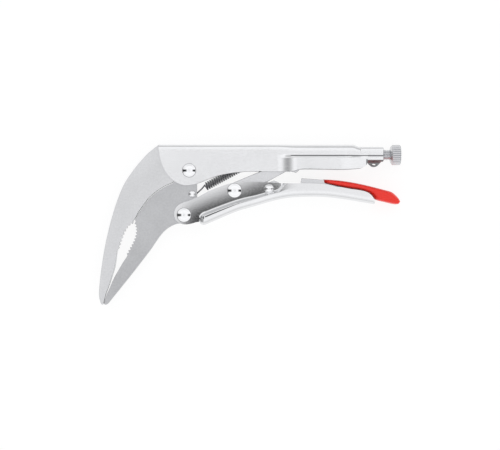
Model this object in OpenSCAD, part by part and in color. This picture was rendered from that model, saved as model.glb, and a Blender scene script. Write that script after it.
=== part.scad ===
// Locking pliers with long jaws bent down to one side, lying flat on their side.
// X runs from the jaws to the adjusting knob, Y across the handles and Z through the
// thickness. The rest plane is Z = 0 and the mid-plane of every piece is Z = mid_z.

/* [Sheet metal] */
// Thickness of the pressed handle sheet
sheet_t = 2.0; // [1.9:0.05:2.1]
// Half width of both handles across their grips, which sets the height of the mid-plane
grip_half = 8.0; // [7.8:0.1:8.4]
// Half width of both handles across their flat cheeks
cheek_half = 5.4; // [5.3:0.05:5.6]
// Outer corner radius where a cheek meets the roof of the upper handle
roof_r = 3.0; // [2.5:0.1:3.2]
// Outer corner radius of the lower handle's back
back_r = 4.5; // [4:0.1:4.8]

/* [Jaws] */
// Thickness of the moving jaw
jaw_t = 6.5; // [6.3:0.1:6.6]
// Depth of the gripping teeth
tooth_h = 1.2; // [0.6:0.1:1.2]
// Number of teeth on the fixed jaw
fixed_teeth = 9; // [7:1:11]
// Number of teeth on the moving jaw
moving_teeth = 11; // [9:1:12]

/* [Pivots] */
// Radius of the three large rivet shanks
rivet_r = 3.0; // [2.8:0.1:3.1]
// Radius of the lever's rivet shank
small_rivet_r = 2.0; // [1.8:0.1:2.2]
// Height of a rivet's domed head above the cheek
head_h = 1.3; // [1.0:0.1:1.5]
// Radial clearance of every piece that turns on a rivet
pivot_gap = 0.05; // [0.03:0.01:0.08]

/* [Adjusting screw] */
// Outer diameter of the thread
screw_d = 7.0; // [6.8:0.1:7.0]
// Pitch of the thread
screw_pitch = 1.0; // [0.9:0.1:1.1]
// Depth of the thread
thread_h = 0.55; // [0.4:0.05:0.6]
// Radial clearance between the thread's crests and the collar
screw_gap = 0.05; // [0.03:0.01:0.08]
// Diameter of the adjusting knob
knob_d = 13.4; // [13:0.1:14]
// Number of flutes around the knob
knob_flutes = 28; // [20:1:32]

/* [Opening spring] */
// Wire diameter of the spring
wire_d = 0.9; // [0.8:0.05:1.2]
// Outer diameter of the coil
coil_d = 5.6; // [5.2:0.1:5.8]
// Distance from one turn to the next
coil_pitch = 1.55; // [1.5:0.05:1.7]
// Number of turns
coil_turns = 21; // [18:1:22]

/* [Release lever] */
// Thickness of the steel lever
lever_t = 5.0; // [4:0.5:5.5]
// Thickness of the toggle link
link_t = 5.6; // [5:0.1:5.8]
// Half width of the moulded lever grip
lever_grip_half = 6.2; // [6:0.1:7]

/* [Hidden] */

$fn = 64;
mid_z = grip_half;
gap_half = cheek_half - sheet_t;
fit = 0.01;

// Pivot centres, with the tool closed and locked
jaw_pivot = [-40.1, 35.8];
handle_pivot = [-43.5, 6.3];
link_pivot = [-10.1, 22.5];
lever_pivot = [12.7, 23.6];
pin_centre = [-38.2, 20.2];
link_nose = [42.4, 46.2];
spring_lug = [6, 44];
screw_y = 46.2;

// Lengths along the adjusting screw's axis
screw_tip_x = 48.6;
collar_start_x = 73;
collar_end_x = 88.5;
knob_start_x = 92.8;
knob_end_x = 100;

// Heights of the upper handle: roof, crease above the flared skirt, and collar
roof_y = 53;
collar_top_y = 51.6;
collar_bottom_y = 41.7;
crease_y = 45.2;
crease_h = 2.4;
skirt_in = [18, 32];
skirt_out = [60, 79];

hub_r = 8.5;
hub_clearance = 0.5;
pin_r = 1.2;
pin_head_r = 2.2;
hook_r = pin_r + 0.1 + wire_d / 2;
lug_hook_r = 1.6;
lug_t = 1.2;
lug_half = 1.8;
lever_head_r = 3.0;
seat_gap = 0.15;

slot_half = wire_d / 2 + 0.25;

// Lengths over which the lower handle's flare starts, the flat of its side between its
// corner and the flare's slope, and half the slope
flare_in = [-33.4, -30];
band_flat = 0.05;
flare_half = 1;

steel = "silver";
satin = [0.74, 0.75, 0.76];
bright = [0.86, 0.87, 0.88];
dark_wire = [0.15, 0.15, 0.16];
moulded_red = [0.85, 0.16, 0.12];

// ---- Curves ----

// Smooth step from 0 to 1 as x goes from a to b
function ease(x, a, b) = let (t = min(1, max(0, (x - a) / (b - a)))) t * t * (3 - 2 * t);

// Value a fraction t of the way between the two limits of a range
function blend(range, t) = range[0] + (range[1] - range[0]) * t;

// Point at t on the smooth curve between b and c, whose neighbours are a and d
function blend_point(a, b, c, d, t) =
    0.5 * (2 * b + (c - a) * t + (2 * a - 5 * b + 4 * c - d) * t * t
           + (3 * b - a - 3 * c + d) * t * t * t);

// Point at u on the smooth curve through a list, where u counts the list's spans
function on_curve(list, u) =
    let (last = len(list) - 1,
         i = min(last - 1, max(0, floor(u))),
         before = i == 0 ? 2 * list[0] - list[1] : list[i - 1],
         after = i + 2 > last ? 2 * list[last] - list[last - 1] : list[i + 2])
    blend_point(before, list[i], list[i + 1], after, u - i);

// Smooth curve through a list of points, with a few steps in each span
function curve(list, steps = 4) =
    [for (k = [0 : (len(list) - 1) * steps]) on_curve(list, k / steps)];

// Height at x of the smooth curve through a list whose x rises, level beyond its ends
function span_of(list, x, i = 0) =
    i >= len(list) - 2 || x < list[i + 1].x ? i : span_of(list, x, i + 1);
function slope_at(list, i) =
    let (a = list[max(0, i - 1)], b = list[min(len(list) - 1, i + 1)]) (b.y - a.y) / (b.x - a.x);
function level(list, x_any) =
    let (x = max(list[0].x, min(list[len(list) - 1].x, x_any)),
         i = span_of(list, x), w = list[i + 1].x - list[i].x, t = (x - list[i].x) / w)
    (2 * t ^ 3 - 3 * t ^ 2 + 1) * list[i].y + (t ^ 3 - 2 * t ^ 2 + t) * w * slope_at(list, i)
    + (3 * t ^ 2 - 2 * t ^ 3) * list[i + 1].y + (t ^ 3 - t ^ 2) * w * slope_at(list, i + 1);

// A list from its last entry to its first
function backwards(list) = [for (k = [len(list) - 1 : -1 : 0]) list[k]];

// Arc from angle a to angle b
function arc(centre, r, a, b, steps = 12) =
    [for (k = [0 : steps]) let (q = a + (b - a) * k / steps) centre + r * [cos(q), sin(q)]];

// Distance run along a list of points at each of them
function run_along(list) =
    [for (k = 0, s = 0; k < len(list); k = k + 1,
          s = k < len(list) ? s + norm(list[k] - list[k - 1]) : s) s];

// Toothed edge of even pitch along a curve: roots on it, crests on its left-hand side
function toothed(list, count, h, steps = 8) =
    let (spans = len(list) - 1,
         run = run_along(curve(list, steps)),
         u_at = [for (k = [0 : len(run) - 1]) [run[k], k / steps]])
    [for (k = [0 : 2 * count])
        let (u = lookup(run[len(run) - 1] * k / (2 * count), u_at),
             d = on_curve(list, min(spans, u + 0.05)) - on_curve(list, max(0, u - 0.05)),
             side = [-d.y, d.x] / norm(d))
        on_curve(list, u) + (k % 2 == 1 ? h : 0) * side];

// ---- Solids from sections and paths ----

// Closed solid through a list of equal sections, each a closed loop of points. A sheet
// section runs out along one face and back along the other, so its ends close in strips.
module loft(sections, sheet = false) {
    n = len(sections[0]);
    m = len(sections);
    points = [for (s = sections) each s];
    sides = [for (i = [0 : m - 2], j = [0 : n - 1], half = [0, 1])
        let (a = i * n + j, b = i * n + (j + 1) % n)
        half == 0 ? [a, b, b + n] : [a, b + n, a + n]];
    end = !sheet ? [[for (j = [0 : n - 1]) j]]
        : [for (j = [0 : n / 2 - 2], half = [0, 1])
            half == 0 ? [j, j + 1, n - 2 - j] : [j, n - 2 - j, n - 1 - j]];
    first = [for (f = end) backwards(f)];
    last = [for (f = end) [for (j = f) (m - 1) * n + j]];
    polyhedron(points, concat(sides, first, last), convexity = 8);
}

// Round wire along a path
module wire(path, r, sides = 8) {
    last = len(path) - 1;
    along = [for (i = [0 : last])
        let (d = path[min(last, i + 1)] - path[max(0, i - 1)]) d / norm(d)];
    start = cross(along[0], [0.31, 0.2, 1]);
    side = [for (i = 0, s = start / norm(start); i <= last;
                 i = i + 1,
                 q = i <= last ? s - (s * along[i]) * along[i] : s,
                 s = q / norm(q)) s];
    loft([for (i = [0 : last])
        let (other = cross(along[i], side[i]))
        [for (k = [0 : sides - 1])
            let (q = -360 * k / sides)
            path[i] + r * (cos(q) * side[i] + sin(q) * other)]]);
}

// Plate of the given outline, centred on the mid-plane
module plate(outline, thickness) {
    translate([0, 0, mid_z - thickness / 2])
        linear_extrude(thickness) polygon(outline);
}

// Upright cylinder through a pivot, centred on the mid-plane
module shank(centre, r, length) {
    translate([centre.x, centre.y, mid_z - length / 2]) cylinder(r = r, h = length);
}

// Domed head of a rivet on top of a flat face at height z
module dome(r, h) {
    ball_r = (r * r + h * h) / (2 * h);
    intersection() {
        translate([0, 0, h - ball_r]) sphere(r = ball_r);
        cylinder(r = r, h = h + 1);
    }
}

// Rivet through both cheeks, with a domed head on each side
module rivet(centre, r, head_r) {
    shank(centre, r, 2 * cheek_half);
    for (side = [0, 180])
        translate([centre.x, centre.y, mid_z]) rotate([side, 0, 0])
            translate([0, 0, cheek_half]) dome(head_r, head_h);
}

// ---- Upper handle ----

// Half width of the skirt below the crease
function skirt_half(x) =
    cheek_half + (grip_half - cheek_half) * ease(x, skirt_in[0], skirt_in[1])
    - (grip_half - cheek_half - 0.4) * ease(x, skirt_out[0], skirt_out[1]);

// One side of the upper handle's U section at x, from the roof down, inset by t
function roof_side(x, t) =
    let (top = roof_y - (roof_y - collar_top_y) * ease(x, 68, collar_start_x),
         r = roof_r + ease(x, skirt_in[0], skirt_in[1]),
         w = skirt_half(x))
    concat(arc([cheek_half - r, top - r], r - t, 90, 0, 5),
           [for (k = [0 : 5])
               let (s = ease(k, 0, 5))
               [cheek_half - t + (w - cheek_half) * s,
                crease_y + crease_h * (0.5 - k / 5) - t / 3]],
           [[w - t, 20]]);

// Full U section: outside from one foot over the roof to the other, then back inside
function roof_section(x) =
    let (outer = roof_side(x, 0), inner = roof_side(x, sheet_t), n = len(outer))
    [for (k = [0 : 4 * n - 1])
        let (q = k % n,
             p = k < n ? outer[n - 1 - q] : k < 2 * n ? outer[q]
                 : k < 3 * n ? inner[n - 1 - q] : inner[q],
             side = k < n || k >= 3 * n ? 1 : -1)
        [x, p.y, mid_z + side * p.x]];

// Lower edge of the upper handle, from its nose to the start of the collar
nose_edge = [[-60.3, 50], [-59.1, 43.1], [-56.8, 36.9], [-53.6, 32.2], [-49.8, 28.6],
             [-45.2, 26.4], [-41, 26], [-35.5, 27], [-23.3, 31.7], [-13.4, 33.9], [-3, 35.2]];
skirt_edge = [[26.5, 35.2], [31.5, 36.2], [37, 36.9], [60, 36.6], [71, 37.1], [75, 37.9],
              [77, 39.4], [77.3, 41.5]];

module upper_handle_outline() {
    polygon(concat([[-60.3, 60]], curve(nose_edge), curve(skirt_edge),
                   [[77.5, 43], [collar_end_x, 43], [collar_end_x, 60]]));
}

module collar() {
    difference() {
        translate([collar_start_x, collar_bottom_y, mid_z - cheek_half])
            cube([collar_end_x - collar_start_x, collar_top_y - 1 - collar_bottom_y,
                  2 * cheek_half]);
        for (side = [-1, 1])
            translate([collar_start_x - 1, collar_bottom_y, mid_z + side * cheek_half])
                rotate([45, 0, 0]) cube([30, 2.6, 2.6], center = true);
    }
}

// Pinched flange under the collar, with a small eye through it
module tail_flange() {
    difference() {
        translate([0, 0, mid_z - 1.8]) linear_extrude(3.6)
            polygon(curve([[78, 42], [78.6, 40.4], [80.6, 38.6], [82.6, 38.2],
                           [84.6, 39], [87.8, 42]], 5));
        hull()
            for (x = [81.3, 83.1])
                translate([x, 40, mid_z - 3]) cylinder(r = 0.75, h = 6);
    }
}

// Tab lanced from the roof, with the hole that holds the rear hook of the spring
module lanced_lug() {
    tab_y = spring_lug.y - lug_hook_r + wire_d / 2 + 0.15;
    into_roof = 0.3;
    difference() {
        translate([spring_lug.x - lug_t / 2, tab_y, mid_z - lug_half])
            cube([lug_t, roof_y - sheet_t + into_roof - tab_y, 2 * lug_half]);
        translate([spring_lug.x, spring_lug.y + lug_hook_r, mid_z]) rotate([0, 90, 0])
            cylinder(r = wire_d / 2 + 0.3, h = 2 * lug_t, center = true);
    }
}

module upper_handle() color(bright) {
    difference() {
        union() {
            intersection() {
                loft([for (x = concat([-62, 5], [for (k = [0 : 8]) blend(skirt_in, k / 8)],
                                      [for (k = [0 : 13]) blend(skirt_out, k / 13)], [89]))
                      roof_section(x)], true);
                translate([0, 0, -1]) linear_extrude(2 * mid_z + 2) upper_handle_outline();
            }
            collar();
            tail_flange();
            lanced_lug();
        }
        shank(jaw_pivot, rivet_r, 4 * cheek_half);
        translate([screw_tip_x - 2, screw_y, mid_z]) rotate([0, 90, 0])
            cylinder(d = screw_d + 2 * screw_gap, h = collar_end_x - screw_tip_x + 4);
    }
}

// ---- Jaws ----

jaw_back = [[-60.35, 52.9], [-63.7, 50.3], [-69, 45.7], [-77.4, 35.7], [-84.3, 24.7],
            [-90.4, 7.9], [-94.9, -9.6], [-98, -27.2], [-99.8, -43.5], [-99.6, -49]];
seam = [[-76.3, 3.7], [-73.6, 8.7], [-67.5, 17.1], [-62.9, 21.3], [-56.8, 25.4],
        [-50.9, 28.2], [-49.6, 32]];
fixed_teeth_line = [[-87.8, -16.5], [-87, -13.4], [-84.3, -5.8], [-81.2, -0.7], [-77.4, 2.2]];
fixed_smooth_line = [[-97.1, -52.6], [-95.4, -46], [-93.2, -40], [-89.6, -28.4], [-88.2, -19.5]];
moving_teeth_line = [[-75.6, 1.9], [-74.4, -2.7], [-74.8, -7.3], [-76.4, -11.9], [-81, -20.5]];
moving_smooth_line = [[-84.1, -25.2], [-87.6, -31.2], [-90.2, -35.9], [-92.4, -40.9],
                      [-94.6, -46], [-96.6, -52.3]];
moving_back = [[-94.2, -52.6], [-84.3, -40.3], [-76.7, -30.8], [-66, -16.8], [-61.4, -10],
               [-57.6, -5.2], [-53.8, -2], [-49.6, 0.1], [-45.5, 0.9]];
moving_seam = [for (p = seam) p + [0.35, -0.45]];

// Top of the fixed jaw's root, just under the corner radius inside the roof
root_top_y = roof_y - roof_r - fit;

module upper_jaw() color(satin)
    plate(concat(curve(jaw_back), [[-98.6, -52.4], [-97.6, -53.2]], curve(fixed_smooth_line),
                 toothed(fixed_teeth_line, fixed_teeth, -tooth_h), curve(seam),
                 arc(jaw_pivot, hub_r + hub_clearance, 180, 90),
                 [[-24, jaw_pivot.y + hub_r + hub_clearance], [-22, 46.5], [-22, root_top_y],
                  [jaw_back[0].x, root_top_y]]),
          2 * gap_half);

module lower_jaw() color(satin) {
    tail = [-35.1, 17.1];
    difference() {
        plate(concat(arc(jaw_pivot, hub_r, 160, -58), [[tail.x, 27.6], [tail.x, 12]],
                     arc(handle_pivot, 5.6, 15, -105, 10), curve(backwards(moving_back)),
                     [[-95, -53], [-96.1, -53.1]], curve(backwards(moving_smooth_line)),
                     backwards(toothed(moving_teeth_line, moving_teeth, -tooth_h)),
                     curve(moving_seam)), jaw_t);
        shank(jaw_pivot, rivet_r + pivot_gap, 20);
        shank(handle_pivot, rivet_r + pivot_gap, 20);
        shank(pin_centre, pin_r, 20);
        translate([pin_centre.x - 2.6, pin_centre.y - 2.8, mid_z - slot_half])
            cube([10, 9, 2 * slot_half]);
    }
}

module spring_pin() color(steel) {
    shank(pin_centre, pin_r, jaw_t);
    for (side = [0, 180])
        translate([pin_centre.x, pin_centre.y, mid_z]) rotate([side, 0, 0])
            translate([0, 0, jaw_t / 2]) dome(pin_head_r, 0.9);
}

// ---- Lower handle ----

// Back of the lower handle, its flared band's upper limit and its top edge
back_edge = [[-30, -0.1], [-24, 2.2], [-15.1, 6], [-7, 9.2], [5, 12.6], [13.1, 15], [21.1, 16.9],
             [29.2, 18], [42.7, 18.4], [52, 18], [61.3, 16.9], [70.6, 15.4], [84, 13.1]];
band_edge = [[-36, 1], [-32.8, 5], [-30, 6.6], [-23.1, 9.4], [-15.1, 12.4], [-7, 15.2],
             [1.1, 17.2], [9.1, 18.5], [14, 19.3], [18, 21.6], [21.1, 25], [23.5, 28], [28, 33],
             [90, 33]];
front_lobe = [[-34.9, 1.8], [-39.4, 0.5], [-43.5, 0.1], [-47.4, 1.4], [-49.6, 4.4], [-49.9, 8.2],
              [-48.3, 11.8], [-44.6, 14.3], [-39.4, 16], [-35.1, 17.8]];
top_edge = [[-28.2, 21.6], [-21.8, 24.2], [-15.5, 26.5], [-9, 28], [0, 28.3], [10, 28],
            [23.5, 27.2], [36, 27.2], [48.7, 26.6], [61.3, 24.2], [73.4, 22.3]];
tail_edge = [[75.6, 22], [78.3, 20.4], [80.6, 17.8], [82.8, 14.6]];

// One side of the lower handle's U section at x, from the back up, inset by t
function back_side(x, t) =
    let (flare = ease(x, flare_in[0], flare_in[1]),
         low = x < back_edge[0].x ? back_edge[0].y - 3 * (back_edge[0].x - x)
               : level(back_edge, x),
         w = cheek_half + (grip_half - cheek_half) * flare,
         r = back_r - 1.6 * (1 - flare),
         rise = max(level(band_edge, x), low + r + flare_half + band_flat))
    concat(arc([w - r, low + r], r - t, -90, 0, 6),
           [for (k = [0 : 5])
               let (s = ease(k, 0, 5))
               [w - t + (cheek_half - w) * s, rise + 2 * flare_half * (k / 5 - 0.5) + t / 3]],
           [[cheek_half - t, 45]]);

function back_section(x) =
    let (outer = back_side(x, 0), inner = back_side(x, sheet_t), n = len(outer))
    [for (k = [0 : 4 * n - 1])
        let (q = k % n,
             p = k < n ? outer[n - 1 - q] : k < 2 * n ? outer[q]
                 : k < 3 * n ? inner[n - 1 - q] : inner[q],
             side = k < n || k >= 3 * n ? -1 : 1)
        [x, p.y, mid_z + side * p.x]];

module lower_handle_outline() {
    polygon(concat([[86, 8], [0, 6], [-18, 2], [-27, -0.6], [-29.6, -0.9], [-31.9, -0.1],
                    [-33.2, 1.6]], curve(front_lobe), curve(top_edge), curve(tail_edge)));
}

module lower_handle() color(bright) {
    difference() {
        intersection() {
            loft([for (x = concat([-51, -36], [for (k = [0 : 6]) -34.5 + k],
                                  [for (k = [0 : 27]) -26 + 4 * k], [85]))
                  back_section(x)], true);
            translate([0, 0, -1]) linear_extrude(2 * mid_z + 2) lower_handle_outline();
        }
        shank(handle_pivot, rivet_r, 4 * cheek_half);
        shank(link_pivot, rivet_r, 4 * cheek_half);
        shank(lever_pivot, small_rivet_r, 4 * cheek_half);
        for (side = [0, 180])
            translate([lever_pivot.x, lever_pivot.y, mid_z]) rotate([side, 0, 0])
                translate([0, 0, cheek_half]) cylinder(r = lever_head_r + seat_gap, h = grip_half);
    }
}

// ---- Toggle link and release lever ----

link_hub_r = 5.2;
link_nose_r = 3.4;
link_angle = atan2(link_nose.y - link_pivot.y, link_nose.x - link_pivot.x);

module toggle_link() color(steel) {
    span = norm(link_nose - link_pivot);
    difference() {
        translate([link_pivot.x, link_pivot.y, mid_z - link_t / 2]) rotate([0, 0, link_angle])
            linear_extrude(link_t)
                polygon(concat(arc([0, 0], link_hub_r, 90, 275, 20),
                               [[span - 20, 1 - link_nose_r], [span - 15.5, -6],
                                [span - 12, -5], [span - 9, 0.6 - link_nose_r]],
                               arc([span, 0], link_nose_r, -80, 90, 14)));
        shank(link_pivot, rivet_r + pivot_gap, 20);
    }
}

lever_hub_r = 4;
lever_top = [[17.8, 28.6], [22, 26.6], [30, 26.4], [33.6, 27.2]];
lever_step = [[34.3, 30.7], [48.4, 29.6], [61, 28], [72, 25.8], [84, 22.2], [93, 18.6]];
lever_base = [[92, 16.8], [84, 19.6], [72, 23.4], [60, 25], [47, 26.2], [38, 25],
              [30, 22.4], [20, 20.4]];

module lever_outline() {
    polygon(concat(arc(lever_pivot, lever_hub_r, -60, -255, 20), [[15.8, 29.2]],
                   curve(lever_top), curve(lever_step), curve(lever_base)));
}

module release_lever() color(steel) {
    difference() {
        translate([0, 0, mid_z - lever_t / 2]) linear_extrude(lever_t) lever_outline();
        shank(lever_pivot, small_rivet_r + pivot_gap, 20);
    }
}

grip_top = [[48.6, 29.9], [54, 29.7], [61.3, 29], [70.6, 27.5], [80, 25.4], [89.3, 23],
            [94, 21.6], [97.2, 19], [99.2, 16.4], [99.6, 14.8]];
grip_base = [[48.9, 27.3], [56.7, 25.7], [66, 23.9], [73.4, 22.8], [76.4, 22.4], [79.2, 20.9],
             [81.6, 18.6], [83.4, 16.5], [89.3, 14.9], [95.8, 13.5], [98.6, 13.6]];

// Section of the lever grip at fraction u of its length, a rounded oblong
function grip_section(u) =
    let (over = on_curve(grip_top, (len(grip_top) - 1) * u),
         under = on_curve(grip_base, (len(grip_base) - 1) * u),
         centre = (over + under) / 2, half = (over - under) / 2,
         end = min(u, 1 - u), w = lever_grip_half * (1 - 0.75 * (1 - min(1, 16 * end)) ^ 2))
    [for (k = [0 : 19])
        let (q = -18 * k,
             c = sign(cos(q)) * abs(cos(q)) ^ 0.6,
             s = sign(sin(q)) * abs(sin(q)) ^ 0.6)
        [centre.x + half.x * s, centre.y + half.y * s, mid_z + w * c]];

module lever_grip() color(moulded_red) {
    difference() {
        loft([for (k = [0 : 32]) grip_section(k / 32)]);
        translate([0, 0, mid_z - lever_t / 2 - fit]) linear_extrude(lever_t + 2 * fit)
            lever_outline();
    }
}

// ---- Adjusting screw and knob ----

module adjusting_screw() color(steel) {
    r = screw_d / 2;
    flank = screw_pitch / 2;
    turns = floor((knob_start_x - screw_tip_x - 3) / screw_pitch);
    translate([screw_tip_x, screw_y, mid_z]) rotate([0, 90, 0]) rotate_extrude()
        polygon(concat([[0, 0]], arc([r - 2, 2], 2, -90, -20, 4), [[r - thread_h, 2.2]],
                       [for (k = [0 : turns - 1])
                           each [[r - thread_h, 2.4 + k * screw_pitch],
                                 [r, 2.4 + k * screw_pitch + flank * 0.8],
                                 [r, 2.4 + k * screw_pitch + flank]]],
                       [[r - thread_h, knob_start_x - screw_tip_x],
                        [0, knob_start_x - screw_tip_x]]));
}

module screw_knob() color(steel) {
    r = knob_d / 2;
    length = knob_end_x - knob_start_x;
    translate([knob_start_x, screw_y, mid_z]) rotate([0, 90, 0]) difference() {
        rotate_extrude() polygon([[0, 0], [r - 1.5, 0], [r, 1.5], [r, length - 0.6],
                                  [r - 0.6, length], [0, length]]);
        for (k = [0 : knob_flutes - 1])
            rotate([0, 0, 360 * k / knob_flutes]) translate([r + 0.15, 0, 1.7])
                cylinder(r = 0.55, h = length);
    }
}

// ---- Opening spring ----

coil_r = (coil_d - wire_d) / 2;
coil_start = [-29.6, 25];
coil_way = [spring_lug.x - coil_start.x, spring_lug.y - coil_start.y] / norm(spring_lug - coil_start);
coil_side = [-coil_way.y, coil_way.x];
coil_length = coil_turns * coil_pitch;

// Point on the coil after a number of turns, tapering in to the axis at both ends
function coil_point(turn) =
    let (q = 360 * turn, s = turn * coil_pitch,
         r = coil_r * ease(min(turn, coil_turns - turn), -0.35, 0.4),
         p = coil_start + s * coil_way + r * cos(q) * coil_side)
    [p.x, p.y, mid_z + r * sin(q)];

function flat_points(list) = [for (p = list) [p.x, p.y, mid_z]];

module opening_spring() color(dark_wire) {
    coil_end = coil_start + coil_length * coil_way;
    wire(concat(flat_points(arc(pin_centre, hook_r, 200, -60, 14)),
                flat_points([coil_start - 2.5 * coil_way]),
                [for (k = [0 : 10 * coil_turns]) coil_point(k / 10)],
                flat_points([coil_end + 1.2 * coil_way]),
                flat_points(arc(spring_lug, lug_hook_r, 215, -60, 14))),
         wire_d / 2);
}

// ---- Rivets ----

module jaw_pivot_rivet() color(bright) rivet(jaw_pivot, rivet_r, 4.3);
module handle_pivot_rivet() color(bright) rivet(handle_pivot, rivet_r, 4.5);
module link_rivet() color(bright) rivet(link_pivot, rivet_r, 4.6);
module lever_rivet() color(bright) rivet(lever_pivot, small_rivet_r, lever_head_r);

upper_handle();
upper_jaw();
lower_jaw();
lower_handle();
toggle_link();
release_lever();
lever_grip();
adjusting_screw();
screw_knob();
opening_spring();
spring_pin();
jaw_pivot_rivet();
handle_pivot_rivet();
link_rivet();
lever_rivet();
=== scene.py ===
"""Looks of a pair of locking pliers with bent long jaws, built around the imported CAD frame.

Lengths are millimetres in the row frame until a mesh is made, where MM turns them into metres.
MID is the height of the mid-plane; w is a distance from it, along Z.
"""
import math

import bmesh
import bpy
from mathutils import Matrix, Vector


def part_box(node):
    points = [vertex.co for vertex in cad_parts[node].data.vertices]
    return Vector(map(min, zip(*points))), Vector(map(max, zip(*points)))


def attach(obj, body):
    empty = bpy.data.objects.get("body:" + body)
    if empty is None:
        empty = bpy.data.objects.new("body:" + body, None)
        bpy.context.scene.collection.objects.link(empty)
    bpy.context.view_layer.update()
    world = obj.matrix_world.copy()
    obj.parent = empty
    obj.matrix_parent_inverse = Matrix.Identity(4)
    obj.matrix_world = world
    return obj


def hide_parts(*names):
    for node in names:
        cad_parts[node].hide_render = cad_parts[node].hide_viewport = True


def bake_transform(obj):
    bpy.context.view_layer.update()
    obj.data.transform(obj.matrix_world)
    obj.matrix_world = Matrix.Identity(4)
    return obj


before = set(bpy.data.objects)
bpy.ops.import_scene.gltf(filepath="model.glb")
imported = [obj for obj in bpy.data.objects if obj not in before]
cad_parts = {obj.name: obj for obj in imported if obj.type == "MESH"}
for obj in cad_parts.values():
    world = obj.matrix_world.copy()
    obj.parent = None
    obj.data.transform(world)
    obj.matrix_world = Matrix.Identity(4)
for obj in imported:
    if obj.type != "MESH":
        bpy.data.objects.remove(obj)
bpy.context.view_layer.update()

MM = 0.001


def box_mm(node):
    """Lowest and highest corners of a CAD node, in millimetres."""
    low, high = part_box(node)
    return low / MM, high / MM


def middle_of(node):
    """Centre of a node in plan, and half of its width."""
    low, high = box_mm(node)
    return ((low.x + high.x) / 2, (low.y + high.y) / 2), (high.x - low.x) / 2


# ---- Driving dimensions, from the frame and the sheet metal ----

LOWER_LOW, LOWER_HIGH = box_mm("lower_handle")
SCREW_LOW, SCREW_HIGH = box_mm("adjusting_screw")
KNOB_LOW, KNOB_HIGH = box_mm("screw_knob")
GRIP_HALF = (LOWER_HIGH.z - LOWER_LOW.z) / 2
MID = (LOWER_HIGH.z + LOWER_LOW.z) / 2
SHEET = 2.0
CHEEK_HALF = 5.4
SCREW_Y = (SCREW_LOW.y + SCREW_HIGH.y) / 2
SCREW_R = (SCREW_HIGH.y - SCREW_LOW.y) / 2
EDGE = 0.28  # rounding of the pressed sheet's edges


# ---- Curves ----

def ease(x, a, b):
    """Smooth step from 0 to 1 as x goes from a to b."""
    t = min(1.0, max(0.0, (x - a) / (b - a)))
    return t * t * (3 - 2 * t)


FOLD_CORNER = 0.2
FOLD_STEPS = (0, 0.04, 0.08, 0.12, 0.16, 0.2, 0.35, 0.5, 0.65, 0.8, 0.84, 0.88, 0.92, 0.96, 1)


def fold(x, a, b):
    """Press fold from 0 to 1 as x goes from a to b: a straight slope with rounded corners."""
    t = min(1.0, max(0.0, (x - a) / (b - a)))
    near = min(t, 1 - t)
    if near < FOLD_CORNER:
        rise = near ** 2 / (2 * FOLD_CORNER * (1 - FOLD_CORNER))
    else:
        rise = (near - FOLD_CORNER / 2) / (1 - FOLD_CORNER)
    return rise if t < 0.5 else 1 - rise


def mix(a, b, t):
    """Value a fraction t of the way from a to b."""
    return a + (b - a) * t


def on_curve(points, u):
    """Point at u, counted in spans, on the smooth curve through the points."""
    last = len(points) - 1
    i = min(last - 1, max(0, int(u)))
    b, c = Vector(points[i]), Vector(points[i + 1])
    a = Vector(points[i - 1]) if i > 0 else 2 * b - c
    d = Vector(points[i + 2]) if i + 2 <= last else 2 * c - b
    t = u - i
    return 0.5 * (2 * b + (c - a) * t + (2 * a - 5 * b + 4 * c - d) * t ** 2
                  + (3 * b - a - 3 * c + d) * t ** 3)


def curve(points, steps):
    """Smooth curve through the points, with that many steps in each span."""
    return [on_curve(points, k / steps) for k in range((len(points) - 1) * steps + 1)]


def evenly(points, count):
    """That many points spaced evenly along a polyline."""
    lengths = [0.0]
    for a, b in zip(points, points[1:]):
        lengths.append(lengths[-1] + (b - a).length)
    found, i = [], 0
    for k in range(count):
        goal = lengths[-1] * k / (count - 1)
        while i < len(points) - 2 and lengths[i + 1] < goal:
            i += 1
        span = max(1e-9, lengths[i + 1] - lengths[i])
        found.append(points[i].lerp(points[i + 1], min(1.0, (goal - lengths[i]) / span)))
    return found


def level(points, x):
    """Height at x of the smooth curve through points whose x rises, level beyond its ends."""
    x = max(points[0][0], min(points[-1][0], x))
    last = len(points) - 1
    i = max(k for k in range(last) if k == 0 or points[k][0] <= x)

    def slope(k):
        a, b = points[max(0, k - 1)], points[min(last, k + 1)]
        return (b[1] - a[1]) / (b[0] - a[0])

    w = points[i + 1][0] - points[i][0]
    t = (x - points[i][0]) / w
    return ((2 * t ** 3 - 3 * t ** 2 + 1) * points[i][1] + (t ** 3 - 2 * t ** 2 + t) * w * slope(i)
            + (3 * t ** 2 - 2 * t ** 3) * points[i + 1][1] + (t ** 3 - t ** 2) * w * slope(i + 1))


# ---- Meshes ----

BEVEL_ANGLE = 38  # an edge turning by more degrees than this is rounded
LATHE_SIDES = 64


def finish_mesh(bm, name, material, smooth_angle=32, bevel=0.0, segments=2):
    """Turns a bmesh in millimetres into a shaded object, with its sharp edges rounded."""
    bmesh.ops.remove_doubles(bm, verts=bm.verts, dist=0.004)
    bmesh.ops.recalc_face_normals(bm, faces=bm.faces)
    bmesh.ops.scale(bm, vec=(MM, MM, MM), verts=bm.verts)
    mesh = bpy.data.meshes.new(name)
    bm.to_mesh(mesh)
    bm.free()
    obj = bpy.data.objects.new(name, mesh)
    bpy.context.scene.collection.objects.link(obj)
    mesh.materials.append(material)
    mesh.shade_smooth()
    if bevel:
        rounding = obj.modifiers.new("edges", "BEVEL")
        rounding.width = bevel * MM
        rounding.segments = segments
        rounding.limit_method = "ANGLE"
        rounding.angle_limit = math.radians(BEVEL_ANGLE)
        rounding.use_clamp_overlap = True
        flats = obj.modifiers.new("flats", "WEIGHTED_NORMAL")
        flats.keep_sharp = True
    mesh.set_sharp_from_angle(angle=math.radians(smooth_angle))
    return obj


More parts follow.
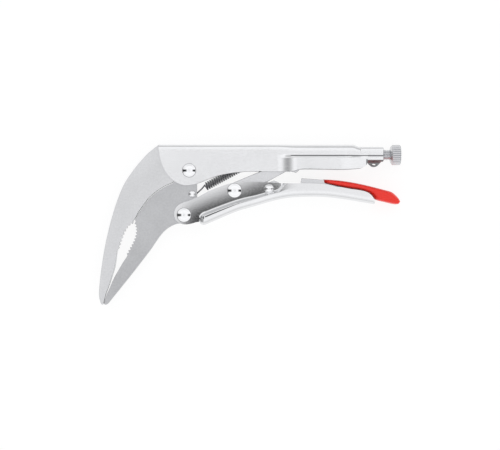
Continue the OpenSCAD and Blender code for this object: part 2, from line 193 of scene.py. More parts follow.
def add_grid(bm, rows, closed=False):
    """Quads between rows of points; closed joins each row's end to its start."""
    made = [[bm.verts.new(p) for p in row] for row in rows]
    n = len(made[0])
    for a, b in zip(made, made[1:]):
        for j in range(n if closed else n - 1):
            k = (j + 1) % n
            bm.faces.new((a[j], a[k], b[k], b[j]))
    return made


def add_strip(bm, a, b):
    """Quads between two lists of vertices."""
    for j in range(len(a) - 1):
        bm.faces.new((a[j], a[j + 1], b[j + 1], b[j]))


def add_lathe(bm, profile, origin, axis, around):
    """Solid of revolution: profile holds (radius, height along axis)."""
    across = axis.cross(around)
    rows = [[origin + axis * h + (around * math.cos(q) + across * math.sin(q)) * max(r, 1e-4)
             for q in (2 * math.pi * k / LATHE_SIDES for k in range(LATHE_SIDES))]
            for r, h in profile]
    return add_grid(bm, rows, closed=True)


def add_tube(bm, path, radius, sides=12):
    """Round wire along a path, closed at its ends."""
    last = len(path) - 1
    side = None
    rows = []
    for i, p in enumerate(path):
        along = (path[min(last, i + 1)] - path[max(0, i - 1)]).normalized()
        if side is None:
            side = along.cross(Vector((0.31, 0.2, 1)))
        side = (side - along * side.dot(along)).normalized()
        other = along.cross(side)
        rows.append([p + radius * (side * math.cos(q) + other * math.sin(q))
                     for q in (2 * math.pi * k / sides for k in range(sides))])
    made = add_grid(bm, rows, closed=True)
    bm.faces.new(made[0])
    bm.faces.new(list(reversed(made[-1])))


def remake(node, material, bevel):
    """A cleaned copy of a CAD node's mesh, with flat faces joined and its edges rounded."""
    bm = bmesh.new()
    bm.from_mesh(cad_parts[node].data)
    bmesh.ops.scale(bm, vec=(1 / MM,) * 3, verts=bm.verts)
    bmesh.ops.remove_doubles(bm, verts=bm.verts, dist=0.002)
    bmesh.ops.dissolve_limit(bm, angle_limit=math.radians(0.6), verts=bm.verts, edges=bm.edges)
    obj = finish_mesh(bm, node + "_finished", material, bevel=bevel, segments=3)
    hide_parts(node)
    return obj


# ---- Materials ----

BUMP_DEPTH = 0.00003  # metres


def new_material(name):
    """An empty node material with its Principled shader."""
    material = bpy.data.materials.new(name)
    material.use_nodes = True
    nodes = material.node_tree.nodes
    return material, nodes, material.node_tree.links, nodes["Principled BSDF"]


def noise(nodes, links, source, scale, stretch=(1, 1, 1), detail=3.0):
    """Noise texture in object space, stretched along an axis."""
    mapping = nodes.new("ShaderNodeMapping")
    mapping.inputs["Scale"].default_value = stretch
    links.new(source.outputs["Object"], mapping.inputs["Vector"])
    texture = nodes.new("ShaderNodeTexNoise")
    texture.inputs["Scale"].default_value = scale
    texture.inputs["Detail"].default_value = detail
    links.new(mapping.outputs["Vector"], texture.inputs["Vector"])
    return texture


def ramp(nodes, links, value, low, high):
    """Maps a 0 to 1 value to the range from low to high."""
    mapped = nodes.new("ShaderNodeMapRange")
    mapped.inputs["From Min"].default_value = 0.3
    mapped.inputs["From Max"].default_value = 0.7
    mapped.inputs["To Min"].default_value = low
    mapped.inputs["To Max"].default_value = high
    links.new(value, mapped.inputs["Value"])
    return mapped.outputs["Result"]


def metal(name, colour, rough, rough_vary=0.05, grain=900, grain_stretch=(1, 1, 1),
          bump=0.1, tint=0.03):
    """Metal with fine grain in its bump, and uneven roughness and tone."""
    material, nodes, links, shader = new_material(name)
    source = nodes.new("ShaderNodeTexCoord")
    shader.inputs["Metallic"].default_value = 1.0
    cloud = noise(nodes, links, source, 38)
    fine = noise(nodes, links, source, grain, grain_stretch, detail=4.0)
    tone = nodes.new("ShaderNodeMix")
    tone.data_type = "RGBA"
    dark = [c * (1 - tint) for c in colour]
    light = [min(1.0, c * (1 + tint)) for c in colour]
    tone.inputs["A"].default_value = (*dark, 1)
    tone.inputs["B"].default_value = (*light, 1)
    blend = nodes.new("ShaderNodeMath")
    blend.operation = "MULTIPLY_ADD"
    blend.inputs[1].default_value = 0.5
    links.new(fine.outputs["Fac"], blend.inputs[0])
    half = nodes.new("ShaderNodeMath")
    half.operation = "MULTIPLY"
    half.inputs[1].default_value = 0.5
    links.new(cloud.outputs["Fac"], half.inputs[0])
    links.new(half.outputs[0], blend.inputs[2])
    links.new(ramp(nodes, links, blend.outputs[0], 0, 1), tone.inputs["Factor"])
    links.new(tone.outputs["Result"], shader.inputs["Base Color"])
    links.new(ramp(nodes, links, blend.outputs[0], rough - rough_vary, rough + rough_vary),
              shader.inputs["Roughness"])
    relief = nodes.new("ShaderNodeBump")
    relief.inputs["Strength"].default_value = bump
    relief.inputs["Distance"].default_value = BUMP_DEPTH
    links.new(fine.outputs["Fac"], relief.inputs["Height"])
    links.new(relief.outputs["Normal"], shader.inputs["Normal"])
    return material


def moulded_red():
    """Smooth red plastic with a faint moulding texture."""
    material, nodes, links, shader = new_material("moulded_red")
    source = nodes.new("ShaderNodeTexCoord")
    cloud = noise(nodes, links, source, 60)
    tone = nodes.new("ShaderNodeMix")
    tone.data_type = "RGBA"
    tone.inputs["A"].default_value = (0.88, 0.022, 0.010, 1)
    tone.inputs["B"].default_value = (0.94, 0.030, 0.014, 1)
    links.new(ramp(nodes, links, cloud.outputs["Fac"], 0, 1), tone.inputs["Factor"])
    links.new(tone.outputs["Result"], shader.inputs["Base Color"])
    shader.inputs["Specular IOR Level"].default_value = 0.45
    fine = noise(nodes, links, source, 1500)
    links.new(ramp(nodes, links, fine.outputs["Fac"], 0.27, 0.37), shader.inputs["Roughness"])
    relief = nodes.new("ShaderNodeBump")
    relief.inputs["Strength"].default_value = 0.08
    relief.inputs["Distance"].default_value = BUMP_DEPTH
    links.new(fine.outputs["Fac"], relief.inputs["Height"])
    links.new(relief.outputs["Normal"], shader.inputs["Normal"])
    return material


PLATED = metal("plated_sheet", (0.83, 0.835, 0.845), 0.18, 0.05, 900, (0.5, 1, 1), bump=0.16,
               tint=0.05)
POLISHED = metal("polished_sheet", (0.80, 0.805, 0.815), 0.045, 0.015, 900, bump=0.02, tint=0.05)
# Two copies of one satin forging: the fixed jaw's copy is painted lighter than the moving jaw's,
# light and shade painted into one finish.
SATIN = metal("satin_forging", (0.50, 0.505, 0.515), 0.34, 0.07, 950, bump=0.40, tint=0.13)
SATIN_PAINTED_LIGHTER = metal("satin_forging_painted_lighter", (0.66, 0.665, 0.675), 0.34, 0.07, 950, bump=0.40,
                    tint=0.10)
BAR = metal("plated_bar", (0.68, 0.685, 0.70), 0.24, 0.05, 900, (0.15, 1, 1), bump=0.12)
TURNED = metal("turned_steel", (0.66, 0.665, 0.68), 0.20, 0.05, 1400, bump=0.10)
RIVET = metal("polished_rivet", (0.87, 0.875, 0.885), 0.065, 0.02, 900, bump=0.02, tint=0.015)
# Dark metal painted where shade falls: a band along the upper handle's crease, the faces under the
# collar and a ring round each rivet head.
PAINTED_SHADE_METAL = metal("painted_shade_metal", (0.26, 0.262, 0.27), 0.55, 0.06, 1200, bump=0.25, tint=0.10)
WIRE = metal("black_wire", (0.20, 0.20, 0.21), 0.24, 0.05, 1800, bump=0.10)
RED = moulded_red()


# ---- Upper handle ----

ROOF_Y = 53.0
COLLAR_TOP = 51.6
COLLAR_BOTTOM = 41.7
COLLAR_START = 73.0
COLLAR_END = 88.5
COLLAR_LIP = 0.35  # rounding of the collar's ends
ROOF_R = 3.0
CREASE_Y = 45.2
CREASE_H = 2.4
CREASE_DEPTH = 0.45
CREASE_WIDTH = 0.5
CREASE_SHADE_BAND = (45.15, 45.95)  # heights of the band painted dark along the crease: painted shade
CREASE_FROM = 27.0
SKIRT_IN = (18, 32)
SKIRT_OUT = (60, 79)
SPRING_LUG = (6, 44)
LUG_HOOK_R = 1.6
LUG_T = 1.2
LUG_HALF = 1.8
WIRE_R = 0.45
NOSE_EDGE = [(-60.3, 50), (-59.1, 43.1), (-56.8, 36.9), (-53.6, 32.2), (-49.8, 28.6),
             (-45.2, 26.4), (-41, 26), (-35.5, 27), (-23.3, 31.7), (-13.4, 33.9), (-3, 35.2)]
SKIRT_EDGE = [(-3, 35.2), (12, 35.2), (26.5, 35.2), (31.5, 36.2), (37, 36.9), (60, 36.6),
              (71, 37.1), (75, 37.9), (77, 39.4), (78, 42.0)]


def skirt_half(x):
    """Half width of the upper handle below its crease."""
    flare = GRIP_HALF - CHEEK_HALF
    return CHEEK_HALF + flare * ease(x, *SKIRT_IN) - (flare - 0.4) * ease(x, *SKIRT_OUT)


def roof_profile(x_top, x_foot, y_foot, inset):
    """Points from the middle of the roof down to the foot, inset from the outside."""
    top = mix(ROOF_Y, COLLAR_TOP, ease(x_top, 68, COLLAR_START))
    radius = ROOF_R + ease(x_top, *SKIRT_IN)
    flat = CHEEK_HALF - radius
    points = [(flat * k / 2, top - inset) for k in range(3)]
    for k in range(1, 9):
        q = math.radians(90 * k / 8)
        points.append((flat + (radius - inset) * math.sin(q),
                       top - radius + (radius - inset) * math.cos(q)))
    shift = -inset / 3
    start = CREASE_Y + CREASE_H / 2 + shift
    wide = skirt_half(x_foot)
    cheek_top = points[-1][1]
    foot = min(y_foot, cheek_top - 0.6)
    heights = [mix(cheek_top, start, k / 4) for k in range(1, 4)]
    heights += [start - CREASE_H * t for t in FOLD_STEPS]
    heights += [mix(start - CREASE_H, foot, k / 5) for k in range(1, 6)]
    for y in heights:
        y = max(y, foot)
        s = fold(start - y, 0, CREASE_H)
        points.append((mix(CHEEK_HALF, wide, s) - inset, y))
    x_at = [mix(x_top, x_foot, ease(top - y, 0, top - y_foot + 1e-6) if y < top - radius
                else 0) for _, y in points]
    return [(x, y, w) for x, (w, y) in zip(x_at, points)]


def upper_stations():
    """(x at the roof, x at the foot, height of the foot) along the upper handle."""
    nose = evenly(curve(NOSE_EDGE, 8), 84)
    stations = []
    for k, p in enumerate(nose):
        s = k / (len(nose) - 1)
        top = mix(NOSE_EDGE[0][0], NOSE_EDGE[-1][0], s ** 2.2)
        stations.append((min(top, mix(p.x, top, 0.5) if p.x > top else p.x + 1.5), p.x, p.y))
    skirt = evenly(curve(SKIRT_EDGE, 8), 110)
    stations += [(p.x, p.x, p.y) for p in skirt[1:]]
    return stations


def both_sides(profile):
    """A profile from the middle to one edge, mirrored to run from edge to edge."""
    right = [Vector((x, y, MID + w)) for x, y, w in profile]
    left = [Vector((x, y, MID - w)) for x, y, w in profile[1:]]
    return list(reversed(left)) + right


def add_sheet(bm, outer_rows, inner_rows):
    """A sheet between two grids of points, closed along its four edges."""
    outer = add_grid(bm, outer_rows)
    inner = add_grid(bm, inner_rows)
    add_strip(bm, outer[0], inner[0])
    add_strip(bm, outer[-1], inner[-1])
    add_strip(bm, [r[0] for r in outer], [r[0] for r in inner])
    add_strip(bm, [r[-1] for r in outer], [r[-1] for r in inner])
    return outer, inner


def add_collar(bm):
    """The channel's end, formed round the adjusting screw, creased along each side."""
    sides = 120
    bore = SCREW_R + 0.05
    centre_y = (COLLAR_TOP + COLLAR_BOTTOM) / 2
    half_y = (COLLAR_TOP - COLLAR_BOTTOM) / 2

    def ring(x, inset):
        dense = []
        for k in range(361):
            c, s = math.cos(math.radians(k)), math.sin(math.radians(k))
            power = 0.5 if s > 0 else 0.4
            y = centre_y + (half_y - inset) * math.copysign(abs(s) ** power, s)
            groove = CREASE_DEPTH * math.exp(-((y - CREASE_Y) / CREASE_WIDTH) ** 2)
            w = (CHEEK_HALF + 0.05 - inset) * abs(c) ** power - groove * min(1, 3 * abs(c))
            dense.append(Vector((x, y, MID + math.copysign(w, c))))
        return evenly(dense, sides + 1)[:-1]

    def hole(x):
        return [Vector((x, SCREW_Y + bore * math.sin(q), MID + bore * math.cos(q)))
                for q in (2 * math.pi * k / sides for k in range(sides))]

    start, end = COLLAR_START - 0.1, COLLAR_END
    rows = [hole(start), ring(start, COLLAR_LIP), ring(start + 0.3, 0)]
    rows += [ring(mix(start + 0.3, end - 0.3, k / 8), 0) for k in range(1, 9)]
    rows += [ring(end, COLLAR_LIP), hole(end - 0.02), hole(start)]
    add_grid(bm, rows, closed=True)


def add_pierced(bm, outline, eye, place):
    """Plate from an outline in to an eye of as many points; place(p, side) puts each point."""
    faces = []
    for side in (1, -1):
        rows = [[place(a.lerp(b, k / 5), side) for a, b in zip(outline, eye)] for k in range(6)]
        faces.append(add_grid(bm, rows, closed=True))
    for k in (0, -1):
        near, far = faces[0][k], faces[1][k]
        add_strip(bm, near + near[:1], far + far[:1])


def add_tail_flange(bm):
    """Pinched flange under the collar, flaring into it, with an eye through it."""
    outline = evenly(curve([(77.9, 43), (78.5, 40.6), (80.6, 38.6), (82.6, 38.2), (84.7, 39),
                            (88.2, 43)], 10), 40)
    eye = [Vector((82.2 + (0.95 * math.copysign(1, math.cos(q)) + 0.75 * math.cos(q)),
                   39.95 + 0.75 * math.sin(q)))
           for q in (math.radians(200 + 360 * k / 39) for k in range(40))]

    def place(p, side):
        return Vector((p.x, p.y, MID + side * (1.5 + 3.4 * ease(p.y, 40.2, 43.4) ** 1.4)))

    add_pierced(bm, outline, eye, place)


def add_lug(bm):
    """Tab lanced from the roof, with the hole that holds the spring's rear hook."""
    low, high = SPRING_LUG[1] - LUG_HOOK_R + WIRE_R + 0.15, ROOF_Y - SHEET + 0.3
    corners = [Vector(c) for c in ((-LUG_HALF, low), (LUG_HALF, low), (LUG_HALF, high),
                                   (-LUG_HALF, high), (-LUG_HALF, low))]
    middle = Vector((0, SPRING_LUG[1] + LUG_HOOK_R))
    eye = [middle + (WIRE_R + 0.3) * Vector((math.cos(q), math.sin(q)))
           for q in (math.radians(-125 + 9 * k) for k in range(40))]
    add_pierced(bm, evenly(corners, 41)[:-1], eye,
                lambda p, side: Vector((SPRING_LUG[0] + side * LUG_T / 2, p.y, MID + p.x)))


def upper_handle():
    """Fixed handle: pressed channel, collar, flange and the spring's lug."""
    bm = bmesh.new()
    stations = upper_stations()
    outer = [both_sides(roof_profile(a, b, y, 0)) for a, b, y in stations]
    inner = [both_sides(roof_profile(a, b, y, SHEET)) for a, b, y in stations]
    add_sheet(bm, outer, inner)
    add_collar(bm)
    add_tail_flange(bm)
    add_lug(bm)
    obj = finish_mesh(bm, "fixed_handle_channel", PLATED, bevel=EDGE)
    obj.data.materials.append(PAINTED_SHADE_METAL)
    # Faces under the collar and the outer faces along the crease take the dark metal: painted
    # shade.
    for face in obj.data.polygons:
        x, y, z = face.center / MM
        collar_shade = x > COLLAR_START + 4 and y < COLLAR_BOTTOM + 1.2
        outside = (z - MID) * face.normal.z > 0 and abs(z - MID) > CHEEK_HALF - 1
        crease_shade = CREASE_SHADE_BAND[0] < y < CREASE_SHADE_BAND[1] and CREASE_FROM < x < COLLAR_END - 0.2
        if collar_shade or (outside and crease_shade):
            face.material_index = 1
    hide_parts("upper_handle")
    return obj


# ---- Lower handle ----

BACK_EDGE = [(-33.4, 1.7), (-32.8, 0.6), (-31.6, -0.1), (-30, -0.3), (-24, 2.2), (-15.1, 6),
             (-7, 9.2), (5, 12.6), (13.1, 15), (21.1, 16.9), (29.2, 18), (42.7, 18.4), (52, 18),
             (61.3, 16.9), (70.6, 15.4), (84, 13.1)]
BAND_EDGE = [(-34, 3.6), (-32.8, 5), (-30, 6.6), (-23.1, 9.4), (-15.1, 12.4), (-7, 15.2),
             (1.1, 17.2), (9.1, 18.5), (14, 19.3), (18, 21.6), (21.1, 25), (23.5, 28), (28, 33),
             (90, 33)]
FRONT_LOBE = [(-33.4, 1.7), (-35.5, 1.6), (-39.4, 0.5), (-43.5, 0.1), (-47.4, 1.4),
              (-49.6, 4.4), (-49.9, 8.2), (-48.3, 11.8), (-44.6, 14.3), (-39.4, 16),
              (-33.4, 18.7)]
TOP_EDGE = [(-33.4, 18.7), (-28.2, 21.6), (-21.8, 24.2), (-15.5, 26.5), (-9, 28), (0, 28.3),
            (10, 28), (23.5, 27.2), (36, 27.2), (48.7, 26.6), (61.3, 24.2), (73.4, 22.3),
            (75.6, 22), (78.3, 20.4), (80.6, 17.8), (82.4, 15.4)]
BASE_STEPS = 4
CHEEK_STEPS = 12
SIDE_POINTS = BASE_STEPS + len(FOLD_STEPS) - 1 + CHEEK_STEPS  # above the corner
FRONT_R = 2.4
BACK_R = 4.5
FLARE_IN = (-33.4, -30)
FLARE_HALF = 1
BAND_FLAT = 0.05
LEVER_PIVOT, LEVER_HEAD_R = middle_of("lever_rivet")
SEAT_R = LEVER_HEAD_R + 0.15
SEAT_SLOPE = 0.5


def seat_of_lever_rivet(x, y):
    """1 on the flat seat pressed round the lever's rivet, falling to 0 just outside it."""
    return 1 - ease(math.hypot(x - LEVER_PIVOT[0], y - LEVER_PIVOT[1]),
                    SEAT_R, SEAT_R + SEAT_SLOPE)


def back_profile(x, inset):
    """Points from the middle of the back up to the top edge, inset from the outside."""
    low, top = level(BACK_EDGE, x), level(TOP_EDGE, x)
    flare = ease(x, *FLARE_IN)
    wide = mix(CHEEK_HALF, GRIP_HALF, flare)
    radius = mix(FRONT_R, BACK_R, flare)
    rise = max(level(BAND_EDGE, x), low + radius + FLARE_HALF + BAND_FLAT)
    flat = wide - radius
    points = [(flat * k / 3, low + inset) for k in range(4)]
    turn = math.acos(max(0.0, min(1.0, 1 - (top - low - inset) / (radius - inset))))
    for k in range(1, 11):
        q = min(math.pi / 2, turn) * k / 10
        points.append((flat + (radius - inset) * math.sin(q),
                       low + radius - (radius - inset) * math.cos(q)))
    start = rise - FLARE_HALF + inset / 3
    base = points[-1][1]
    heights = [mix(base, start, k / BASE_STEPS) for k in range(1, BASE_STEPS + 1)]
    end = start + 2 * FLARE_HALF
    heights += [mix(start, end, t) for t in FOLD_STEPS[1:]]
    heights += [mix(end, top, k / CHEEK_STEPS) for k in range(1, CHEEK_STEPS + 1)]
    for y in heights:
        y = max(base, min(y, top))
        s = max(fold(y, start, end), seat_of_lever_rivet(x, y))
        points.append((mix(wide, CHEEK_HALF, s) - inset, y))
    return [(x, y, w) for w, y in points]


def add_front_plates(bm, outer_row, inner_row):
    """The two flat cheeks that reach forward past the back, each side of the jaw."""
    lobe = evenly(curve(FRONT_LOBE, 10), 90)
    for side in (1, -1):
        column = slice(-SIDE_POINTS, None) if side == 1 else slice(0, SIDE_POINTS)
        rims = []
        for row, w in ((outer_row, CHEEK_HALF), (inner_row, CHEEK_HALF - SHEET)):
            joined = list(row[column]) if side == -1 else list(reversed(row[column]))
            free = [bm.verts.new((p.x, p.y, MID + side * w)) for p in lobe[1:-1]]
            bm.faces.new(joined + free)
            rims.append([joined[-1]] + free + [joined[0]])
        add_strip(bm, *rims)


def lower_handle():
    """Moving handle: pressed channel with a flared band and grip, and front cheeks."""
    bm = bmesh.new()
    xs = [-33.4 + 0.35 * k for k in range(12)]
    xs += [mix(xs[-1], 82.4, k / 110) for k in range(1, 111)]
    outer = [both_sides(back_profile(x, 0)) for x in xs]
    inner = [both_sides(back_profile(x, SHEET)) for x in xs]
    outer_made, inner_made = add_sheet(bm, outer, inner)
    add_front_plates(bm, outer_made[0], inner_made[0])
    obj = finish_mesh(bm, "moving_handle_channel", POLISHED, bevel=EDGE)
    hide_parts("lower_handle")
    return obj


# ---- Rivets and pin ----

SHADE_RIM = 0.3  # reach of the thin ring round each head, painted dark as the shadow of its seat
RIVET_R = 3.0
LEVER_RIVET_R = 2.0


def domed_pin(node, centre, radius, head_r, face, head_h, dimple=0.0):
    """Pin with a domed head standing on the faces each side of the mid-plane."""
    bm = bmesh.new()
    ball = (head_r ** 2 + head_h ** 2) / (2 * head_h)
    steps = 14
    cap = []
    for k in range(steps + 1):
        r = head_r * (1 - k / steps)
        h = math.sqrt(ball ** 2 - r ** 2) - (ball - head_h)
        if dimple:
            h -= dimple * (1 - ease(r, 0, 0.55))
        cap.append((r, h))
    half = [(radius, 0), (radius, face - 0.01), (head_r - 0.12, face)]
    half += [(head_r + SHADE_RIM, face + 0.02), (head_r, face + 0.04), (head_r, face + 0.12)]
    half += [(r, face + max(h, 0.12)) for r, h in cap[1:]]
    profile = [(r, -h) for r, h in reversed(half)] + half[1:]
    add_lathe(bm, profile, Vector((centre[0], centre[1], MID)), Vector((0, 0, 1)),
              Vector((1, 0, 0)))
    obj = finish_mesh(bm, node + "_finished", RIVET, smooth_angle=50)
    # The ring outside the head takes the dark metal: a painted shadow round the head.
    obj.data.materials.append(PAINTED_SHADE_METAL)
    for polygon in obj.data.polygons:
        x, y, _ = polygon.center / MM
        if math.hypot(x - centre[0], y - centre[1]) > head_r:
            polygon.material_index = 1
    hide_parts(node)
    return obj


def rivet(node, shank_r):
    """One of the four pivot rivets."""
    centre, head_r = middle_of(node)
    low, high = box_mm(node)
    return domed_pin(node, centre, shank_r, head_r, CHEEK_HALF,
                     (high.z - low.z) / 2 - CHEEK_HALF, dimple=0.06)


# ---- Screw and knob ----

THREAD_PITCH = 1.0
THREAD_DEPTH = 0.6


def thread_radius(turn):
    """Radius at a fraction of a turn of the thread, from root to rounded crest."""
    t = turn % 1.0
    return SCREW_R - THREAD_DEPTH * (1 - ease(0.5 - abs(t - 0.5), 0.02, 0.42))


def adjusting_screw():
    """Shank with a true helical thread and a rounded tip."""
    bm = bmesh.new()
    sides, steps = 48, 8
    tip, end = SCREW_LOW.x, SCREW_HIGH.x
    first = tip + 2.2
    count = int((end - first) / THREAD_PITCH * steps)
    rows = []
    for k in range(8):
        q = math.radians(90 * k / 8)
        r = 0.9 + 2.0 * math.sin(q)
        rows.append([Vector((tip + 2.0 * (1 - math.cos(q)), SCREW_Y + r * math.cos(a),
                             MID + r * math.sin(a)))
                     for a in (2 * math.pi * j / sides for j in range(sides))])
    for k in range(count + 1):
        x = first + k * THREAD_PITCH / steps
        row = []
        for j in range(sides):
            a = 2 * math.pi * j / sides
            r = thread_radius((x - first) / THREAD_PITCH - j / sides)
            row.append(Vector((x, SCREW_Y + r * math.cos(a), MID + r * math.sin(a))))
        rows.append(row)
    made = add_grid(bm, rows, closed=True)
    bm.faces.new(made[0])
    bm.faces.new(list(reversed(made[-1])))
    obj = finish_mesh(bm, "threaded_shank", TURNED, smooth_angle=60)
    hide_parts("adjusting_screw")
    return obj


def screw_knob():
    """Fluted knob: chamfered at both ends, with straight flutes round its rim."""
    bm = bmesh.new()
    radius = (KNOB_HIGH.y - KNOB_LOW.y) / 2
    start, end = KNOB_LOW.x, KNOB_HIGH.x
    flutes, per_flute, depth = 28, 12, 0.85
    profile = [(0.05, 0.0), (3.4, 0.0), (3.9, 0.25), (radius - 1.7, 0.35), (radius - 1.3, 0.55),
               (radius - 0.5, 1.35), (radius - 0.15, 1.65), (radius, 1.95)]
    length = end - start
    profile += [(radius, mix(1.95, length - 0.8, k / 6)) for k in range(1, 7)]
    profile += [(radius - 0.1, length - 0.45), (radius - 0.35, length - 0.15),
                (radius - 0.75, length), (radius - 1.5, length), (radius - 1.8, length - 0.25),
                (0.05, length - 0.25)]
    rows = []
    for r, h in profile:
        cut = depth * ease(h, 1.3, 1.9) if r > radius - 0.6 else 0
        row = []
        for j in range(flutes * per_flute):
            a = 2 * math.pi * j / (flutes * per_flute)
            wave = 0.5 - 0.5 * math.cos(a * flutes)
            rr = r - cut * wave ** 2
            row.append(Vector((start + h, SCREW_Y + rr * math.cos(a), MID + rr * math.sin(a))))
        rows.append(row)
    made = add_grid(bm, rows, closed=True)
    bm.faces.new(made[0])
    bm.faces.new(list(reversed(made[-1])))
    obj = finish_mesh(bm, "fluted_knob", TURNED, smooth_angle=40)
    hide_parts("screw_knob")
    return obj


# ---- Opening spring ----

COIL_D = 5.6
COIL_R = COIL_D / 2 - WIRE_R
PIN_R = 1.2
COIL_PITCH = 1.55
COIL_TURNS = 21
COIL_START = Vector((-29.6, 25, 0))
LUG = Vector((*SPRING_LUG, 0))


HOOK_STEPS = 24


def hook(centre, radius, first, last):
    """Open ring of wire round a pin, in the mid-plane."""
    angles = [math.radians(mix(first, last, k / HOOK_STEPS)) for k in range(HOOK_STEPS + 1)]
    return [Vector((centre[0] + radius * math.cos(q), centre[1] + radius * math.sin(q), MID))
            for q in angles]


def opening_spring():
    """Extension spring with a hook at each end, blended from its pin to its lug."""
    way = (LUG - COIL_START).normalized()
    side = Vector((-way.y, way.x, 0))
    up = Vector((0, 0, 1))
    pin, _ = middle_of("spring_pin")
    path = hook(pin, PIN_R + 0.1 + WIRE_R, 200, -60)
    path.append(COIL_START - 2.5 * way + up * MID)
    per_turn = 24
    for k in range(per_turn * COIL_TURNS + 1):
        turn = k / per_turn
        q = 2 * math.pi * turn
        r = COIL_R * ease(min(turn, COIL_TURNS - turn), -0.35, 0.4)
        path.append(COIL_START + turn * COIL_PITCH * way + r * math.cos(q) * side
                    + up * (MID + r * math.sin(q)))
    path.append(COIL_START + (COIL_TURNS * COIL_PITCH + 1.2) * way + up * MID)
    path += hook(LUG, LUG_HOOK_R, 215, -60)
    bm = bmesh.new()
    add_tube(bm, path, WIRE_R, 12)
    obj = finish_mesh(bm, "extension_spring", WIRE, smooth_angle=80)
    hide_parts("opening_spring")
    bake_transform(obj)
    return obj


# ---- Lever grip ----

GRIP_TOP = [(48.6, 29.9), (54, 29.7), (61.3, 29), (70.6, 27.5), (80, 25.4), (89.3, 23),
            (94, 21.6), (97.2, 19), (99.2, 16.4), (99.6, 14.8)]
GRIP_BASE = [(48.9, 27.3), (56.7, 25.7), (66, 23.9), (73.4, 22.8), (76.4, 22.0), (79.2, 20.9),
             (81.6, 18.6), (83.4, 16.5), (89.3, 14.9), (95.8, 13.5), (98.6, 13.6)]


def lever_grip():
    """Moulded grip on the lever's tail, crowned across and round at its ends."""
    bm = bmesh.new()
    low, high = box_mm("lever_grip")
    half_w = (high.z - low.z) / 2
    count, sides = 110, 40
    rows = []
    for i in range(count + 1):
        u = 0.5 - 0.5 * math.cos(math.pi * i / count)
        over = on_curve(GRIP_TOP, (len(GRIP_TOP) - 1) * u)
        under = on_curve(GRIP_BASE, (len(GRIP_BASE) - 1) * u)
        middle, half = (over + under) / 2, (over - under) / 2
        end = min(1.0, 16 * min(u, 1 - u))
        w = half_w * (1 - 0.75 * (1 - end) ** 2)
        row = []
        for k in range(sides):
            q = 2 * math.pi * k / sides
            c = math.copysign(abs(math.cos(q)) ** 0.75, math.cos(q))
            s = math.copysign(abs(math.sin(q)) ** 0.75, math.sin(q))
            row.append(Vector((middle.x + half.x * s, middle.y + half.y * s, MID + w * c)))
        rows.append(row)
    made = add_grid(bm, rows, closed=True)
    bm.faces.new(made[0])
    bm.faces.new(list(reversed(made[-1])))
    obj = finish_mesh(bm, "lever_grip_moulding", RED, smooth_angle=60)
    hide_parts("lever_grip")
    return obj


# ---- Assembly: each piece, its body and its slot ----

def assemble():
    """Makes every piece, and sets what it rides on and which finish it has."""
    pieces = [
        (upper_handle(), "fixed_side", "plated_sheet"),
        (remake("upper_jaw", SATIN_PAINTED_LIGHTER, 0.14), "fixed_side", "satin_forging"),
        (remake("lower_jaw", SATIN, 0.14), "moving_jaw", "satin_forging"),
        (lower_handle(), "moving_handle", "plated_sheet"),
        (remake("toggle_link", BAR, 0.4), "link", "plated_bar"),
        (remake("release_lever", BAR, 0.3), "lever", "plated_bar"),
        (lever_grip(), "lever", "red_plastic"),
        (adjusting_screw(), "screw", "plated_screw"),
        (screw_knob(), "knob", "plated_screw"),
        (rivet("jaw_pivot_rivet", RIVET_R), "fixed_side", "polished_rivet"),
        (rivet("handle_pivot_rivet", RIVET_R), "moving_handle", "polished_rivet"),
        (rivet("link_rivet", RIVET_R), "moving_handle", "polished_rivet"),
        (rivet("lever_rivet", LEVER_RIVET_R), "moving_handle", "polished_rivet"),
    ]
    centre, head_r = middle_of("spring_pin")
    low, high = box_mm("lower_jaw")
    pin = domed_pin("spring_pin", centre, PIN_R, head_r, (high.z - low.z) / 2, 0.9)
    pieces.append((pin, "moving_jaw", "polished_rivet"))
    for obj, body, slot in pieces:
        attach(obj, body)
    opening_spring()


assemble()


# ---- Floor, light and camera ----

CARD_SLANT = 0.38  # the overhead card lies along the lower handle's front cheek
WHITE_R = 0.23  # metres from the middle of the floor at which it starts to darken
GREY_R = 0.55  # and at which it stops
VIEW_WIDTH = 0.3322


def floor():
    """Plain white light table, brightest under the tool and pale grey further out."""
    material, nodes, links, shader = new_material("pale_floor")
    shader.inputs["Base Color"].default_value = (0.16, 0.16, 0.16, 1)
    shader.inputs["Roughness"].default_value = 0.9
    shader.inputs["Specular IOR Level"].default_value = 0.0
    shader.inputs["Emission Color"].default_value = (1, 1, 1, 1)
    source = nodes.new("ShaderNodeTexCoord")
    distance = nodes.new("ShaderNodeVectorMath")
    distance.operation = "LENGTH"
    links.new(source.outputs["Object"], distance.inputs[0])
    fall = nodes.new("ShaderNodeMapRange")
    fall.interpolation_type = "SMOOTHSTEP"
    for name, value in (("From Min", WHITE_R), ("From Max", GREY_R), ("To Min", 0.87),
                        ("To Max", 0.50)):
        fall.inputs[name].default_value = value
    links.new(distance.outputs["Value"], fall.inputs["Value"])
    links.new(fall.outputs["Result"], shader.inputs["Emission Strength"])
    bpy.ops.mesh.primitive_plane_add(size=8)
    plane = bpy.context.object
    plane.name = "floor"
    plane.data.materials.append(material)


def smooth_window(nodes, links, value, low, high, soft):
    """1 where a value lies between low and high, falling to 0 over soft each side."""
    edges = []
    for a, b in ((low - soft, low + soft), (high + soft, high - soft)):
        edge = nodes.new("ShaderNodeMapRange")
        edge.interpolation_type = "SMOOTHSTEP"
        edge.inputs["From Min"].default_value = a
        edge.inputs["From Max"].default_value = b
        links.new(value, edge.inputs["Value"])
        edges.append(edge.outputs["Result"])
    both = nodes.new("ShaderNodeMath")
    both.operation = "MULTIPLY"
    for k in (0, 1):
        links.new(edges[k], both.inputs[k])
    return both.outputs[0]


def math_node(nodes, links, operation, *values):
    """A Math node whose inputs are sockets or plain numbers."""
    node = nodes.new("ShaderNodeMath")
    node.operation = operation
    for socket, value in zip(node.inputs, values):
        if isinstance(value, (int, float)):
            socket.default_value = value
        else:
            links.new(value, socket)
    return node.outputs[0]


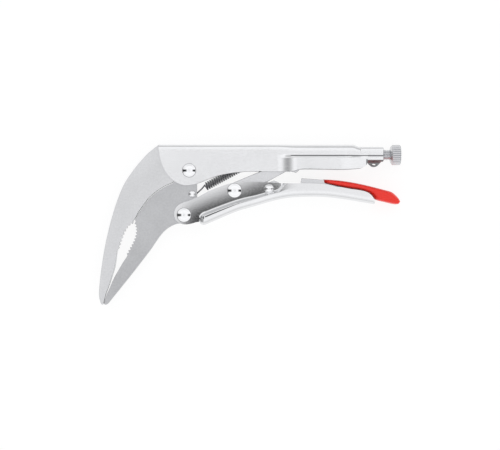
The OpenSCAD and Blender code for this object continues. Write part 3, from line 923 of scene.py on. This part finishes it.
def studio():
    """Light tent round the tool, with dark cards beside it, along its back and overhead."""
    world = bpy.data.worlds.new("studio")
    bpy.context.scene.world = world
    world.use_nodes = True
    nodes, links = world.node_tree.nodes, world.node_tree.links
    background = nodes["Background"]
    source = nodes.new("ShaderNodeTexCoord")
    split = nodes.new("ShaderNodeSeparateXYZ")
    links.new(source.outputs["Generated"], split.inputs[0])
    x, y, z = (split.outputs[axis] for axis in "XYZ")
    tent = nodes.new("ShaderNodeValToRGB")
    tent.color_ramp.interpolation = "EASE"
    stops = [(0.0, 0.80), (0.20, 0.88), (0.55, 1.0), (0.80, 1.12), (0.96, 1.06), (1.0, 1.0)]
    tent.color_ramp.elements[0].position, tent.color_ramp.elements[1].position = 0.0, 1.0
    for at, _ in stops[1:-1]:
        tent.color_ramp.elements.new(at)
    for stop, (_, grey) in zip(tent.color_ramp.elements, stops):
        stop.color = (grey, grey, grey * 1.01, 1)
    links.new(z, tent.inputs["Fac"])
    across = math_node(nodes, links, "MULTIPLY_ADD", x, -CARD_SLANT, y)

    def card(strength, soft, *windows):
        """What is left of the light over a box of directions, given as (value, low, high)."""
        shade = strength
        for value, low, high in windows:
            inside = smooth_window(nodes, links, value, low, high, soft)
            shade = math_node(nodes, links, "MULTIPLY", inside, shade)
        return math_node(nodes, links, "SUBTRACT", 1.0, shade)

    light = card(0.98, 0.06, (x, 0.47, 0.95), (y, -0.15, 0.15), (z, 0.25, 0.84))
    for shade in (card(0.98, 0.11, (x, -0.95, -0.43), (y, -0.17, 0.17), (z, 0.25, 0.92)),
                  card(0.25, 0.10, (y, 0.74, 1.2), (z, 0.0, 0.62)),
                  card(0.60, 0.10, (x, -1.2, -0.74), (z, -0.2, 0.50)),
                  card(0.97, 0.0075, (x, -0.048, 0.024), (across, -0.006, 0.029), (z, 0.9, 1.1))):
        light = math_node(nodes, links, "MULTIPLY", light, shade)
    links.new(tent.outputs["Color"], background.inputs["Color"])
    links.new(light, background.inputs["Strength"])


def camera():
    """Straight down over the tool, as the photograph is taken."""
    data = bpy.data.cameras.new("camera")
    data.lens = 100
    data.sensor_width = 36
    eye = bpy.data.objects.new("camera", data)
    eye.location = (0.0001, -0.0003, MID * MM + VIEW_WIDTH * data.lens / data.sensor_width)
    bpy.context.scene.collection.objects.link(eye)
    bpy.context.scene.camera = eye


floor()
studio()
camera()
bpy.context.scene.view_settings.view_transform = "Standard"
